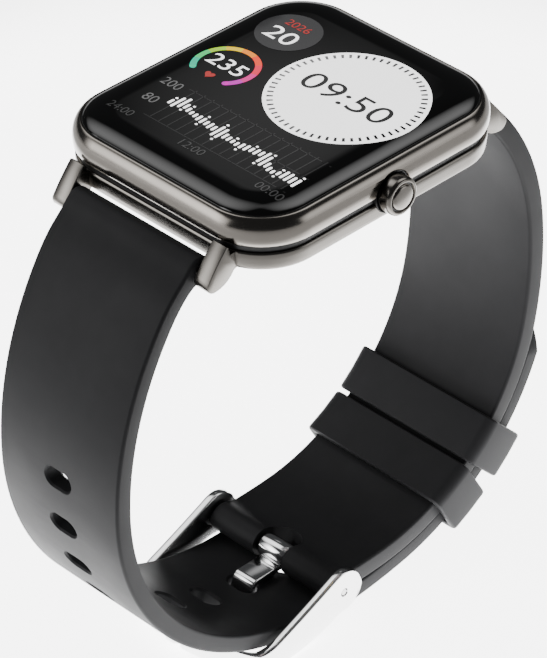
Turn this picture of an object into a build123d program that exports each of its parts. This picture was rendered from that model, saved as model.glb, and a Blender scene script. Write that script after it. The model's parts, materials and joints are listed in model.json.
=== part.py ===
from build123d import *
import math
import os

# Smartwatch on a closed strap, in millimetres.
# Origin: centre of the case back, where it rests on the wrist.
# +X is 3 o'clock (crown side), +Y is 12 o'clock, +Z is out of the display.

os.makedirs("parts", exist_ok=True)

# ---------------------------------------------------------------- driving dimensions

# head outline, measured at the edge line of the cover glass
GLASS_WIDTH = 35.2
GLASS_LENGTH = 41.3
GLASS_CORNER = 7.3

# heights of the stacked head parts
DOME_TOP = 10.8
GLASS_LINE = 9.8
GLASS_BOTTOM = 8.9
BAND_BOTTOM = 6.25
RING_BOTTOM = 5.3
CASE_BOTTOM = 2.9
BACK_FLAT = 1.4

# how far each part stands outside the glass edge line
BAND_BULGE = 1.0
BAND_FOOT = 0.85
RING_OUT = 0.4
LOWER_TOP_OUT = 0.75
LOWER_FOOT_OUT = 0.55

WALL_INSIDE = 1.4          # cavity wall, inside the glass edge line
SEAT_INSIDE = 0.3          # glass seat wall, inside the glass edge line

# lugs and spring bars
LUG_GAP = 22.0
LUG_WIDTH = 2.42
LUG_BAR_Y = 23.8
LUG_BAR_Z = 2.8
BAR_TUBE_RADIUS = 0.75
BAR_CORE_RADIUS = 0.5
TIP_RADIUS = 0.42
TIP_HOLE_RADIUS = 0.5

# crown
CROWN_Z = 6.0
CROWN_RADIUS = 2.5
CROWN_BACK = 18.1
CROWN_FACE = 20.5
STEM_RADIUS = 0.6

# strap
STRAP_WIDTH = 21.4
TAIL_WIDTH = 20.6
BUCKLE_HALF_THICKNESS = 2.7
TAIL_THICKNESS = 2.4
LAYER_GAP = 0.2
STRAP_END_RADIUS = 1.7
KNUCKLE_RADIUS = 2.0
BUCKLE_BAR = (-1.7, -57.4)
HOLE_COUNT = 11
HOLE_PITCH = 7.0
HOLE_LENGTH = 4.4
HOLE_WIDTH = 2.6
TIP_ARCH_START = -39.5
TIP_ARCH_TOP = -33.0

# keepers
KEEPER_WIDTH = 6.4
KEEPER_WALL = 1.25
KEEPER_CLEARANCE = 0.15
KEEPER_ANGLES = (-45.5, -60.2)     # middles of the two keepers round the keeper centre

# buckle
BUCKLE_OUTER = 24.3
BUCKLE_INNER = 21.7
BUCKLE_EYE_RADIUS = 3.1
TANG_WIDTH = 3.6
TANG_THICKNESS = 0.8
BOW_CLEARANCE = 0.35
TANG_BARREL_WIDTH = 4.6


# ---------------------------------------------------------------- helpers

def save(shape, name):
    """Write one node as parts/NAME.step."""
    shape.label = name
    export_step(shape, f"parts/{name}.step")


def outline(grow):
    """Head outline, grown outwards by `grow` from the glass edge line."""
    return RectangleRounded(GLASS_WIDTH + 2 * grow, GLASS_LENGTH + 2 * grow, GLASS_CORNER + grow)


def slab(grow, low, high):
    """Prism with the head outline between two heights."""
    return extrude(Pos(0, 0, low) * outline(grow), high - low)


def stepped_loft(levels):
    """Stack of straight-sided lofts through (grow, z) levels of the head outline."""
    body = None
    for (grow_a, z_a), (grow_b, z_b) in zip(levels, levels[1:]):
        layer = loft([Pos(0, 0, z_a) * outline(grow_a), Pos(0, 0, z_b) * outline(grow_b)], ruled=True)
        body = layer if body is None else body + layer
    return body


def block(x0, x1, y0, y1, z0, z1):
    """Box between two corners."""
    centre = Pos((x0 + x1) / 2, (y0 + y1) / 2, (z0 + z1) / 2)
    return centre * Box(x1 - x0, y1 - y0, z1 - z0)


def rod_x(radius, x0, x1, y, z):
    """Cylinder along X."""
    return Pos((x0 + x1) / 2, y, z) * Rot(0, 90, 0) * Cylinder(radius, x1 - x0)


def rod_z(radius, x, y, z0, z1):
    """Cylinder along Z."""
    return Pos(x, y, (z0 + z1) / 2) * Cylinder(radius, z1 - z0)


def plate_z(width, length, corner, x, y, z0, z1):
    """Rounded rectangular plate."""
    return extrude(Pos(x, y, z0) * RectangleRounded(width, length, corner), z1 - z0)


def ribbon_x(points, half_width):
    """Polygon in the YZ plane, extruded both ways along X."""
    profile = make_face(Polyline([(0, y, z) for y, z in points], close=True))
    return extrude(profile, half_width, dir=(1, 0, 0), both=True)


def coil_x(radius, wire, x0, x1, turns, y, z):
    """Round-wire coil spring along X."""
    length = x1 - x0
    spine = Helix(length / turns, length, radius)
    section = Plane(origin=spine @ 0, z_dir=spine % 0) * Circle(wire)
    return Pos(x0, y, z) * Rot(0, 90, 0) * sweep(section, path=spine)


class ArcPath:
    """Chain of tangent arcs in the YZ plane that bends round the inside of the strap loop."""

    def __init__(self, start, heading, via):
        self.arcs = []
        point = start
        for target in via:
            dy = target[0] - point[0]
            dz = target[1] - point[1]
            half_turn = math.remainder(math.atan2(dz, dy) - heading, 2 * math.pi)
            radius = math.hypot(dy, dz) / (2 * abs(math.sin(half_turn)))
            side = math.copysign(1, half_turn)
            centre = (point[0] - side * radius * math.sin(heading), point[1] + side * radius * math.cos(heading))
            angle = math.atan2(point[1] - centre[1], point[0] - centre[0])
            self.arcs.append((centre, radius, angle, 2 * half_turn))
            heading += 2 * half_turn
            point = target
        self.length = sum(radius * abs(turn) for _, radius, _, turn in self.arcs)

    def at(self, s, out=0.0):
        """Point at length s along the path, moved outwards by `out`."""
        for centre, radius, angle, turn in self.arcs:
            span = radius * abs(turn)
            if s <= span or centre is self.arcs[-1][0]:
                polar = angle + turn * s / span
                reach = radius + out
                return (centre[0] + reach * math.cos(polar), centre[1] + reach * math.sin(polar))
            s -= span
        return None

    def breaks(self, s0, s1):
        """Lengths at which the arcs change, between s0 and s1, with both ends."""
        marks = [s0]
        total = 0.0
        for _, radius, _, turn in self.arcs:
            total += radius * abs(turn)
            if s0 + 1e-6 < total < s1 - 1e-6:
                marks.append(total)
        return marks + [s1]

    def rail(self, s0, s1, out):
        """Tangent arcs from s0 to s1 at a constant distance from the path."""
        edges = []
        marks = self.breaks(s0, s1)
        for a, b in zip(marks, marks[1:]):
            stops = [self.at(s, out) for s in (a + 1e-9, (a + b) / 2, b - 1e-9)]
            edges.append(ThreePointArc(*[(0, y, z) for y, z in stops]))
        return edges

    def band(self, s0, s1, inner, outer, half_width):
        """Solid strip between two distances from the path, extruded along X."""
        outside = self.rail(s0, s1, outer)
        inside = self.rail(s0, s1, inner)
        ends = [Line(outside[0] @ 0, inside[0] @ 0), Line(outside[-1] @ 1, inside[-1] @ 1)]
        face = make_face(Curve() + outside + inside + ends)
        return extrude(face, half_width, dir=(1, 0, 0), both=True)


# buckle half: from the 12 o'clock lug bar round to the buckle bar
BUCKLE_PATH = ArcPath(
    start=(LUG_BAR_Y, LUG_BAR_Z),
    heading=math.radians(-42),
    via=[(34.5, -18.2), (33.8, -33.7), (6.8, -57.4), BUCKLE_BAR],
)

# The tail lies on the outside of the buckle half: there both share one arc centre.
KEEPER_CENTRE, KEEPER_ARC_RADIUS = BUCKLE_PATH.arcs[2][:2]
LAYER_OFFSET = (BUCKLE_HALF_THICKNESS + TAIL_THICKNESS) / 2 + LAYER_GAP
TAIL_ARC_RADIUS = KEEPER_ARC_RADIUS + LAYER_OFFSET


def on_tail_arc(degrees):
    """Point on the tail's own arc round the keeper centre."""
    polar = math.radians(degrees)
    y = KEEPER_CENTRE[0] + TAIL_ARC_RADIUS * math.cos(polar)
    z = KEEPER_CENTRE[1] + TAIL_ARC_RADIUS * math.sin(polar)
    return (y, z)


TAIL_TIP_ANGLE = 12.0
TAIL_LEAVE_ANGLE = -80.0

# tail half: from its tip, round the outside of the buckle half, to the 6 o'clock lug bar
TAIL_PATH = ArcPath(
    start=on_tail_arc(TAIL_TIP_ANGLE),
    heading=math.radians(TAIL_TIP_ANGLE - 90),
    via=[on_tail_arc(TAIL_LEAVE_ANGLE), (-3.4, -60.85), (-36.8, -26.8), (-28.9, -1.9), (-LUG_BAR_Y, LUG_BAR_Z)],
)


# ---------------------------------------------------------------- head, outside

def cover_glass():
    levels = [
        (-0.05, GLASS_LINE),
        (-0.5, 10.15),
        (-1.2, 10.45),
        (-2.4, 10.7),
        (-4.0, DOME_TOP),
    ]
    return slab(-SEAT_INSIDE - 0.05, GLASS_BOTTOM, GLASS_LINE) + stepped_loft(levels)


def crown_recess():
    """Round pocket that the crown sinks into."""
    return rod_x(CROWN_RADIUS + 0.25, 17.6, 22, 0, CROWN_Z)


def upper_case():
    shell = stepped_loft([
        (BAND_FOOT, BAND_BOTTOM),
        (BAND_BULGE, 7.2),
        (BAND_BULGE, 7.7),
        (0.8, 8.7),
        (0.45, 9.4),
        (0.0, GLASS_LINE),
    ])
    shell -= slab(-WALL_INSIDE, BAND_BOTTOM - 1, GLASS_LINE + 1)
    shell -= slab(-SEAT_INSIDE, GLASS_BOTTOM - 0.2, GLASS_LINE + 1)
    return shell - crown_recess() - rod_x(1.1, 14, 20, 0, CROWN_Z)


def antenna_ring():
    ring = slab(RING_OUT, RING_BOTTOM, BAND_BOTTOM) - slab(-WALL_INSIDE, RING_BOTTOM - 1, BAND_BOTTOM + 1)
    return ring - crown_recess() - rod_x(1.1, 14, 20, 0, CROWN_Z)


def lug(side_x, side_y):
    """One lug: a claw-shaped side profile, one lug width thick."""
    profile = make_face(Curve() + [
        Line((20.0, CASE_BOTTOM), (20.0, 5.2)),
        Line((20.0, 5.2), (21.6, 5.2)),
        Line((21.6, 5.2), (21.6, 6.2)),
        Line((21.6, 6.2), (22.0, 6.4)),
        ThreePointArc((22.0, 6.4), (23.9, 4.55), (25.2, 2.4)),
        ThreePointArc((25.2, 2.4), (24.9, 1.35), (23.9, 1.05)),
        ThreePointArc((23.9, 1.05), (22.1, 1.6), (20.95, 2.7)),
        Line((20.95, 2.7), (20.95, CASE_BOTTOM)),
        Line((20.95, CASE_BOTTOM), (20.0, CASE_BOTTOM)),
    ])
    inner_x = LUG_GAP / 2
    solid = extrude(Plane.YZ.offset(inner_x) * profile, LUG_WIDTH)
    solid -= rod_x(TIP_HOLE_RADIUS, inner_x - 1, inner_x + 1.5, LUG_BAR_Y, LUG_BAR_Z)
    if side_x < 0:
        solid = mirror(solid, Plane.YZ)
    if side_y < 0:
        solid = mirror(solid, Plane.XZ)
    return solid


BOSS_PLACES = [(sx * 13.7, sy * 16.3) for sx in (-1, 1) for sy in (-1, 1)]


def lower_case():
    shell = stepped_loft([(LOWER_FOOT_OUT, CASE_BOTTOM), (LOWER_TOP_OUT, RING_BOTTOM)])
    shell -= slab(-WALL_INSIDE, CASE_BOTTOM - 1, RING_BOTTOM + 1)
    for x, y in BOSS_PLACES:
        post = rod_z(1.6, x, y, 3.5, 5.2) - rod_z(0.5, x, y, 3.4, 5.3)
        shell += post & slab(0, 3.5, 5.2)
    for side_x in (-1, 1):
        for side_y in (-1, 1):
            shell += lug(side_x, side_y) - slab(-WALL_INSIDE, CASE_BOTTOM - 1, RING_BOTTOM)
    return shell - crown_recess() - rod_x(1.1, 14, 20, 0, CROWN_Z)


def back_cover():
    cup = stepped_loft([(-5.0, BACK_FLAT), (-2.6, 1.7), (-0.9, 2.2), (0.1, 2.75)])
    cup += slab(-WALL_INSIDE - 0.1, 2.75, 3.3)
    cup -= slab(-WALL_INSIDE - 1.2, 2.0, 4.0)
    cup -= rod_z(11.05, 0, 0, 0, 3)
    for x in CONTACT_XS:
        cup -= rod_z(1.0, x, CONTACT_Y, 0, 3)
    return cup


def back_seal():
    return slab(-0.35, 2.77, 2.88) - slab(-WALL_INSIDE + 0.02, 2.7, 3.0)


def sensor_window():
    """Round window, domed towards the wrist, with a flat middle at the origin's height."""
    rim = rod_z(11.0, 0, 0, 0.75, 1.9)
    dome = Pos(0, 0, 0.375) * Rot(180, 0, 0) * Cone(11.0, 7.0, 0.75)
    return rim + dome


CONTACT_XS = (-2.2, 2.2)
CONTACT_Y = -13.6


def charging_contacts():
    pads = [rod_z(0.98, x, CONTACT_Y, 1.35, 2.3) for x in CONTACT_XS]
    return Compound(children=pads)


# ---------------------------------------------------------------- head, inside

def glass_gasket():
    return slab(-0.4, 8.72, 8.88) - slab(-1.9, 8.6, 9.0)


def touch_panel():
    return plate_z(30.0, 36.6, 4.5, 0, 0, 8.3, 8.68)


def display_panel():
    return plate_z(30.2, 36.8, 4.6, 0, 0, 7.28, 8.26)


def backlight():
    return plate_z(30.0, 36.6, 4.5, 0, 0, 6.75, 7.24)


def display_flex():
    """Ribbon that hangs from the panel's 6 o'clock end and folds under to the board."""
    loop = [
        (-18.42, 7.6), (-18.72, 7.6), (-18.72, 5.97), (-16.2, 5.97),
        (-16.2, 6.03), (-18.6, 6.03), (-18.6, 7.5), (-18.42, 7.5),
    ]
    return ribbon_x(loop, 4.5)


SWITCH_NOTCH = (14.05, 16.5, -2.4, 2.4)


def mid_frame():
    plate = plate_z(31.8, 37.6, 5.3, 0, 0, 6.1, 6.68)
    plate -= block(*SWITCH_NOTCH, 6, 7) + block(-5, 5, -20, -18.2, 6, 7)
    for x, y in BOSS_PLACES:
        plate -= rod_z(0.55, x, y, 6, 7)
        plate -= rod_z(1.0, x, y, 6.3, 7)
    return plate


def frame_screws():
    screws = []
    for x, y in BOSS_PLACES:
        screw = rod_z(0.92, x, y, 6.32, 6.64) + rod_z(0.48, x, y, 4.0, 6.32)
        screw -= block(x - 0.6, x + 0.6, y - 0.1, y + 0.1, 6.5, 6.7)
        screws.append(screw)
    return Compound(children=screws)


def main_board():
    return plate_z(27.8, 34.0, 6.0, 0, 0, 5.28, 5.94)


def shield_can():
    can = block(5.6, 13.2, -3.0, 12.0, 4.1, 5.26)
    return can - block(5.75, 13.05, -2.85, 11.85, 4.25, 5.5)


def battery():
    return fillet(block(-14.2, 4.2, -12.5, 14.4, 2.95, 5.1).edges(), 0.5)


def vibration_motor():
    return rod_z(4.0, 9.4, -8.4, 2.3, 5.0)


def sensor_board():
    return rod_z(8.5, 0, 0, 2.42, 2.8)


LED_XS = (-4.2, 4.2)


def sensor_leds():
    chips = [block(x - 0.8, x + 0.8, -0.8, 0.8, 1.95, 2.4) for x in LED_XS]
    return Compound(children=chips)


def photodiode():
    return block(-1.5, 1.5, -1.4, 1.4, 1.95, 2.4)


def charging_magnets():
    discs = [rod_z(1.6, x, CONTACT_Y, 2.05, 2.8) for x in (-6.4, 6.4)]
    return Compound(children=discs)


# ---------------------------------------------------------------- crown and its switch

def crown_cap():
    """Domed cap with a ring groove in its face and a hollow back for the spring."""
    rim = rod_x(CROWN_RADIUS, CROWN_BACK, 20.2, 0, 0)
    rim = fillet(rim.edges().group_by(Axis.X)[-1], 0.5)
    button_radius = 1.6
    dome_radius = 3.4
    button = rod_x(button_radius, 19, 21, 0, 0) & Pos(CROWN_FACE - dome_radius, 0, 0) * Sphere(dome_radius)
    cap = rim - rod_x(button_radius + 0.25, 20.0, 21, 0, 0) + button
    hollow = rod_x(2.0, CROWN_BACK - 0.1, 19.0, 0, 0) - rod_x(1.1, CROWN_BACK - 0.2, 19.1, 0, 0)
    cap -= hollow
    cap -= rod_x(STEM_RADIUS, 18.0, 19.4, 0, 0)
    return Pos(0, 0, CROWN_Z) * cap


def crown_stem():
    stem = rod_x(STEM_RADIUS, 15.55, 19.4, 0, CROWN_Z)
    seal_groove = rod_x(1.0, 16.5, 16.9, 0, CROWN_Z) - rod_x(0.42, 16.4, 17.0, 0, CROWN_Z)
    clip_groove = rod_x(1.0, 15.75, 15.95, 0, CROWN_Z) - rod_x(0.45, 15.7, 16.0, 0, CROWN_Z)
    return stem - seal_groove - clip_groove


def crown_o_ring():
    return Pos(16.7, 0, CROWN_Z) * Rot(0, 90, 0) * Torus(0.535, 0.1)


def crown_clip():
    ring = rod_x(1.0, 15.77, 15.93, 0, CROWN_Z) - rod_x(0.47, 15.6, 16.1, 0, CROWN_Z)
    return ring - block(15.6, 16.1, -0.35, 0.35, CROWN_Z - 1.2, CROWN_Z)


def crown_tube():
    """Steel bush pressed through the case wall."""
    return rod_x(1.1, 16.2, 17.6, 0, CROWN_Z) - rod_x(STEM_RADIUS + 0.05, 16, 18, 0, CROWN_Z)


def crown_spring():
    return coil_x(1.55, 0.12, 17.75, 18.85, 3, 0, CROWN_Z)


def side_switch():
    body = block(14.15, 15.05, -1.75, 1.75, 5.28, 6.68)
    return body - rod_x(0.5, 14.5, 15.2, 0, CROWN_Z)


def switch_plunger():
    return rod_x(0.44, 14.95, 15.54, 0, CROWN_Z)


# ---------------------------------------------------------------- strap

def end_roll(path_y, radius, half_width):
    """Round end of a strap half, with the bore for its spring bar."""
    return rod_x(radius, -half_width, half_width, path_y, LUG_BAR_Z)


def strap_buckle_half():
    half = STRAP_WIDTH / 2
    thick = BUCKLE_HALF_THICKNESS / 2
    strap = BUCKLE_PATH.band(0, BUCKLE_PATH.length, -thick, thick, half)
    strap += end_roll(LUG_BAR_Y, STRAP_END_RADIUS, half)
    knuckle_half = half - 0.15
    strap += rod_x(KNUCKLE_RADIUS, -knuckle_half, knuckle_half, *BUCKLE_BAR)
    strap -= rod_x(BAR_TUBE_RADIUS, -20, 20, LUG_BAR_Y, LUG_BAR_Z)
    strap -= rod_x(BAR_TUBE_RADIUS, -20, 20, *BUCKLE_BAR)
    y, z = BUCKLE_BAR
    slot_half = TANG_BARREL_WIDTH / 2 + 0.3
    slot_end = y + 0.9
    slot = block(-slot_half, slot_half, y - 4, slot_end, z - 4, z + 4)
    slot += rod_z(slot_half, 0, slot_end, z - 4, z + 4)
    return strap - slot


def strap_hole(s):
    """Obround hole through the tail at length s, its long side along X."""
    y0, z0 = TAIL_PATH.at(s)
    y1, z1 = TAIL_PATH.at(s, 1.0)
    plane = Plane(origin=(0, y0, z0), x_dir=(1, 0, 0), z_dir=(0, y1 - y0, z1 - z0))
    return extrude(plane * SlotOverall(HOLE_LENGTH, HOLE_WIDTH), 3, both=True)


def tail_length_at(y):
    """Length along the tail at which it passes a given Y on the bottom of the loop."""
    low, high = 0.0, TAIL_PATH.length
    for _ in range(60):
        middle = (low + high) / 2
        if TAIL_PATH.at(middle)[0] > y:
            low = middle
        else:
            high = middle
    return low


TANG_HOLE_Y = -8.2
HOLES_BEFORE_TANG = 3
HOLE_LENGTHS = [tail_length_at(TANG_HOLE_Y) + (k - HOLES_BEFORE_TANG) * HOLE_PITCH for k in range(HOLE_COUNT)]


def tail_front_outline():
    """Front view of the tail half: tapers down from the lugs."""
    wide = STRAP_WIDTH / 2
    slim = TAIL_WIDTH / 2
    points = [
        (wide, 10), (wide, 0), (slim, -42), (slim, -70),
        (-slim, -70), (-slim, -42), (-wide, 0), (-wide, 10),
    ]
    face = make_face(Polyline([(x, 0, z) for x, z in points], close=True))
    return extrude(face, 60, dir=(0, 1, 0), both=True)


def tip_cutter():
    """Everything above the tail's rounded tip, on the 12 o'clock side."""
    slim = TAIL_WIDTH / 2
    arch = make_face(Curve() + [
        Line((-slim, 0, -70), (-slim, 0, TIP_ARCH_START)),
        ThreePointArc((-slim, 0, TIP_ARCH_START), (0, 0, TIP_ARCH_TOP), (slim, 0, TIP_ARCH_START)),
        Line((slim, 0, TIP_ARCH_START), (slim, 0, -70)),
        Line((slim, 0, -70), (-slim, 0, -70)),
    ])
    kept = extrude(arch, 60, dir=(0, 1, 0))
    return block(-15, 15, 20, 45, TIP_ARCH_START - 5, 0) - kept


def strap_tail():
    thick = TAIL_THICKNESS / 2
    strap = TAIL_PATH.band(0, TAIL_PATH.length, -thick, thick, STRAP_WIDTH / 2)
    strap &= tail_front_outline()
    strap -= tip_cutter()
    strap += end_roll(-LUG_BAR_Y, STRAP_END_RADIUS, STRAP_WIDTH / 2)
    strap -= rod_x(BAR_TUBE_RADIUS, -20, 20, -LUG_BAR_Y, LUG_BAR_Z)
    for s in HOLE_LENGTHS:
        strap -= strap_hole(s)
    return strap


def keeper(middle_angle):
    """Straight-ended loop round both strap layers, which slides along their common arc."""
    inner = KEEPER_ARC_RADIUS - BUCKLE_HALF_THICKNESS / 2 - KEEPER_CLEARANCE
    outer = TAIL_ARC_RADIUS + TAIL_THICKNESS / 2 + KEEPER_CLEARANCE
    half = STRAP_WIDTH / 2 + KEEPER_CLEARANCE
    loop = drum(outer + KEEPER_WALL, half + KEEPER_WALL) - drum(inner - KEEPER_WALL, 20)
    loop -= drum(outer, half) - drum(inner, 20)
    loop &= block(-20, 20, 5, 50, -KEEPER_WIDTH / 2, KEEPER_WIDTH / 2)
    return Pos(0, *KEEPER_CENTRE) * Rot(middle_angle, 0, 0) * loop


def drum(radius, half_width):
    """Cylinder along X about the keeper centre, before it is moved there."""
    return rod_x(radius, -half_width, half_width, 0, 0)


# ---------------------------------------------------------------- buckle

def buckle_frame():
    """Bowed frame: a curved side profile cut to a rounded U in plan."""
    y, z = BUCKLE_BAR
    eye_top = (y - 1.0, z + 2.93)
    eye_end = (y + BUCKLE_EYE_RADIUS, z)
    eye_bottom = (y - 0.6, z - 3.04)
    bow_foot = (-22.8, -60.35)
    bow_rail = TAIL_PATH.rail(tail_length_at(-15.2), tail_length_at(-21.7), TAIL_THICKNESS / 2 + BOW_CLEARANCE)
    bow_start = bow_rail[0] @ 0
    side = make_face(Curve() + [
        arc_yz(eye_top, eye_end, eye_bottom),
        arc_yz(eye_bottom, (-9.5, -62.5), bow_foot),
        Line((0, *bow_foot), bow_rail[-1] @ 1),
        *bow_rail,
        arc_yz((bow_start.Y, bow_start.Z), (-9.0, -57.3), eye_top),
    ])
    half_out = BUCKLE_OUTER / 2
    half_in = BUCKLE_INNER / 2
    solid = extrude(side, half_out, dir=(1, 0, 0), both=True)
    solid &= plan_u(half_out, -13.2, -21.2, 10)
    solid -= plan_u(half_in, -12.9, -19.8, 12)
    solid -= block(-2.1, 2.1, -23, -18, -64, -60.2)
    return solid - rod_x(TIP_HOLE_RADIUS, -20, 20, y, z)


def arc_yz(start, middle, end):
    """Arc through three (y, z) points in the middle plane."""
    return ThreePointArc((0, *start), (0, *middle), (0, *end))


def plan_u(half_width, shoulder_y, tip_y, back_y):
    """Plan outline of a U that bulges towards -Y, as a tall prism."""
    corner_x = half_width - 2.65
    corner_y = shoulder_y - 4.8
    round_x = half_width - 0.65
    round_y = shoulder_y - 2.6
    face = make_face(Curve() + [
        Line((-half_width, back_y), (half_width, back_y)),
        Line((half_width, back_y), (half_width, shoulder_y)),
        ThreePointArc((half_width, shoulder_y), (round_x, round_y), (corner_x, corner_y)),
        ThreePointArc((corner_x, corner_y), (0, tip_y), (-corner_x, corner_y)),
        ThreePointArc((-corner_x, corner_y), (-round_x, round_y), (-half_width, shoulder_y)),
        Line((-half_width, shoulder_y), (-half_width, back_y)),
    ])
    return extrude(Pos(0, 0, -80) * face, 60)


def buckle_tang():
    """Barrel on the buckle bar and an S-bent tongue that goes through the tail."""
    y, z = BUCKLE_BAR
    barrel = rod_x(1.6, -TANG_BARREL_WIDTH / 2, TANG_BARREL_WIDTH / 2, y, z)
    route = [(y - 0.2, z - 1.15), (-4.4, -58.65), (-7.5, -58.65), (-8.9, -62.15), (-20.9, -60.75)]
    line = FilletPolyline([(0, py, pz) for py, pz in route], radius=0.7)
    section = Plane(origin=line @ 0, z_dir=line % 0, x_dir=(1, 0, 0)) * Rectangle(TANG_WIDTH, TANG_THICKNESS)
    tongue = sweep(section, path=line)
    return barrel + tongue - rod_x(BAR_TUBE_RADIUS + 0.06, -20, 20, y, z)


# ---------------------------------------------------------------- spring bars

BARS = {
    "lug_bar_12": (LUG_BAR_Y, LUG_BAR_Z, 10.4, 12.2),
    "lug_bar_6": (-LUG_BAR_Y, LUG_BAR_Z, 10.4, 12.2),
    "buckle_bar": (BUCKLE_BAR[0], BUCKLE_BAR[1], 10.4, 12.05),
}


def bar_tube(y, z, half_length):
    return rod_x(BAR_TUBE_RADIUS - 0.02, -half_length, half_length, y, z) - rod_x(BAR_CORE_RADIUS, -20, 20, y, z)


def bar_tip(y, z, reach, side):
    low, high = sorted((side * 8.6, side * reach))
    return rod_x(TIP_RADIUS, low, high, y, z)


def bar_spring(y, z):
    return coil_x(0.32, 0.07, -7.2, 7.2, 12, y, z)


# ---------------------------------------------------------------- write every node

SINGLE_NODES = [
    cover_glass, upper_case, antenna_ring, lower_case, back_cover, back_seal, sensor_window,
    charging_contacts, glass_gasket, touch_panel, display_panel, backlight, display_flex,
    mid_frame, frame_screws, main_board, shield_can, battery, vibration_motor, sensor_board,
    sensor_leds, photodiode, charging_magnets, crown_cap, crown_stem, crown_o_ring, crown_clip,
    crown_tube, crown_spring, side_switch, switch_plunger, strap_buckle_half, strap_tail,
    buckle_frame, buckle_tang,
]

for make in SINGLE_NODES:
    save(make(), make.__name__)

for name, angle in zip(("keeper_upper", "keeper_lower"), KEEPER_ANGLES):
    save(keeper(angle), name)

for bar, (bar_y, bar_z, tube_half, tip_reach) in BARS.items():
    save(bar_tube(bar_y, bar_z, tube_half), f"{bar}_tube")
    save(bar_spring(bar_y, bar_z), f"{bar}_spring")
    save(bar_tip(bar_y, bar_z, tip_reach, 1), f"{bar}_tip_right")
    save(bar_tip(bar_y, bar_z, tip_reach, -1), f"{bar}_tip_left")
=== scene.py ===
import bpy
import bmesh
import json
import math
from mathutils import Matrix, Vector


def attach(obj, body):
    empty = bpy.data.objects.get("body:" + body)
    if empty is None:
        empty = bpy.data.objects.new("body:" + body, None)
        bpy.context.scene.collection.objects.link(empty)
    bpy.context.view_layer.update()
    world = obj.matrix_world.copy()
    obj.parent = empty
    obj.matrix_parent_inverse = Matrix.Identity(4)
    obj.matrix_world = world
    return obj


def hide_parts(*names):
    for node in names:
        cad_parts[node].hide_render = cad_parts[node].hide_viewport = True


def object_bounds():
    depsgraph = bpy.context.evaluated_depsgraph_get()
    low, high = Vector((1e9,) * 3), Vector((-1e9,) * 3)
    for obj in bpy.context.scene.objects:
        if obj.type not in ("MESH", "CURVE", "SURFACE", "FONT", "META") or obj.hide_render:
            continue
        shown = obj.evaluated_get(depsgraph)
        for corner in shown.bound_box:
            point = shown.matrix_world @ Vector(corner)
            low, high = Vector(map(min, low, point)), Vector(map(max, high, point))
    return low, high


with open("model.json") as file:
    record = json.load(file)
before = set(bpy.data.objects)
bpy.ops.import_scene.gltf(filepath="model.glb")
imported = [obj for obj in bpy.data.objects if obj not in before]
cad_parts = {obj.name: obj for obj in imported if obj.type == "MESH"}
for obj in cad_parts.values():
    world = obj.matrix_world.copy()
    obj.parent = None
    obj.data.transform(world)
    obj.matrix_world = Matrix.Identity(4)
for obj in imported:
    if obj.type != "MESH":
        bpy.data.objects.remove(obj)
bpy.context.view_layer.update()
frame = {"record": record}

# Smartwatch on a closed silicone strap. Shapes are in millimetres and are scaled once, in make_piece().
MM = 0.001

# head outline at the glass edge line, and the height of that line
GLASS_WIDTH, GLASS_LENGTH, GLASS_CORNER = 35.2, 41.3, 7.3
GLASS_LINE = 9.8
LUG_INNER, LUG_WIDTH, LUG_BAR_Y, LUG_BAR_Z = 11.0, 2.42, 23.8, 2.8
CROWN_Z, CROWN_RADIUS, CROWN_BORE = 6.0, 2.5, 1.1
STRAP_HALF, TAIL_SLIM_HALF = 10.7, 10.3
STRAP_CORNER = 0.42
BUCKLE_HALF_THICK, TAIL_THICK, LAYER_GAP = 2.7, 2.4, 0.2
BUCKLE_BAR = (-1.7, -57.4)
BAR_HOLE = 0.75
STRAP_ROLL, KNUCKLE_ROLL = 1.7, 2.0
HOLE_COUNT, HOLE_PITCH, HOLES_BEFORE_TANG, TANG_HOLE_Y = 11, 7.0, 3, -8.2
TIP_TOP, TIP_ARCH_START, TIP_ARCH_RADIUS = -33.0, -39.5, 11.41
KEEPER_ANGLES = (-45.5, -60.2)
KEEPER_WALL, KEEPER_REACH, KEEPER_CLEARANCE = 1.25, 3.2, 0.15
EYE_RADIUS, BOW_CLEARANCE = 3.1, 0.35
TANG_SLOT_HALF = 2.6
CUT_REACH = 14          # half length of a cutter that goes right through the strap, along X
BOW_OUTER, BOW_INNER = 12.15, 10.85


# ---------------------------------------------------------------- path of the strap

class ArcPath:
    """Chain of tangent arcs in the YZ plane round the inside of the strap loop."""

    def __init__(self, start, heading, via):
        self.arcs = []
        point = start
        for target in via:
            dy, dz = target[0] - point[0], target[1] - point[1]
            half_turn = math.remainder(math.atan2(dz, dy) - heading, 2 * math.pi)
            radius = math.hypot(dy, dz) / (2 * abs(math.sin(half_turn)))
            side = math.copysign(1, half_turn)
            centre = (point[0] - side * radius * math.sin(heading),
                      point[1] + side * radius * math.cos(heading))
            angle = math.atan2(point[1] - centre[1], point[0] - centre[0])
            self.arcs.append((centre, radius, angle, 2 * half_turn))
            heading += 2 * half_turn
            point = target
        self.length = sum(radius * abs(turn) for _, radius, _, turn in self.arcs)

    def at(self, s, out=0.0):
        """Point at length s, moved outwards; before and past the ends the path runs on straight."""
        inside = min(max(s, 0.0), self.length)
        left = inside
        for centre, radius, angle, turn in self.arcs:
            span = radius * abs(turn)
            if left <= span + 1e-9:
                break
            left -= span
        polar = angle + turn * left / span
        sign = math.copysign(1, turn)
        along = s - inside
        y = centre[0] + (radius + out) * math.cos(polar) - sign * along * math.sin(polar)
        z = centre[1] + (radius + out) * math.sin(polar) + sign * along * math.cos(polar)
        return y, z


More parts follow.
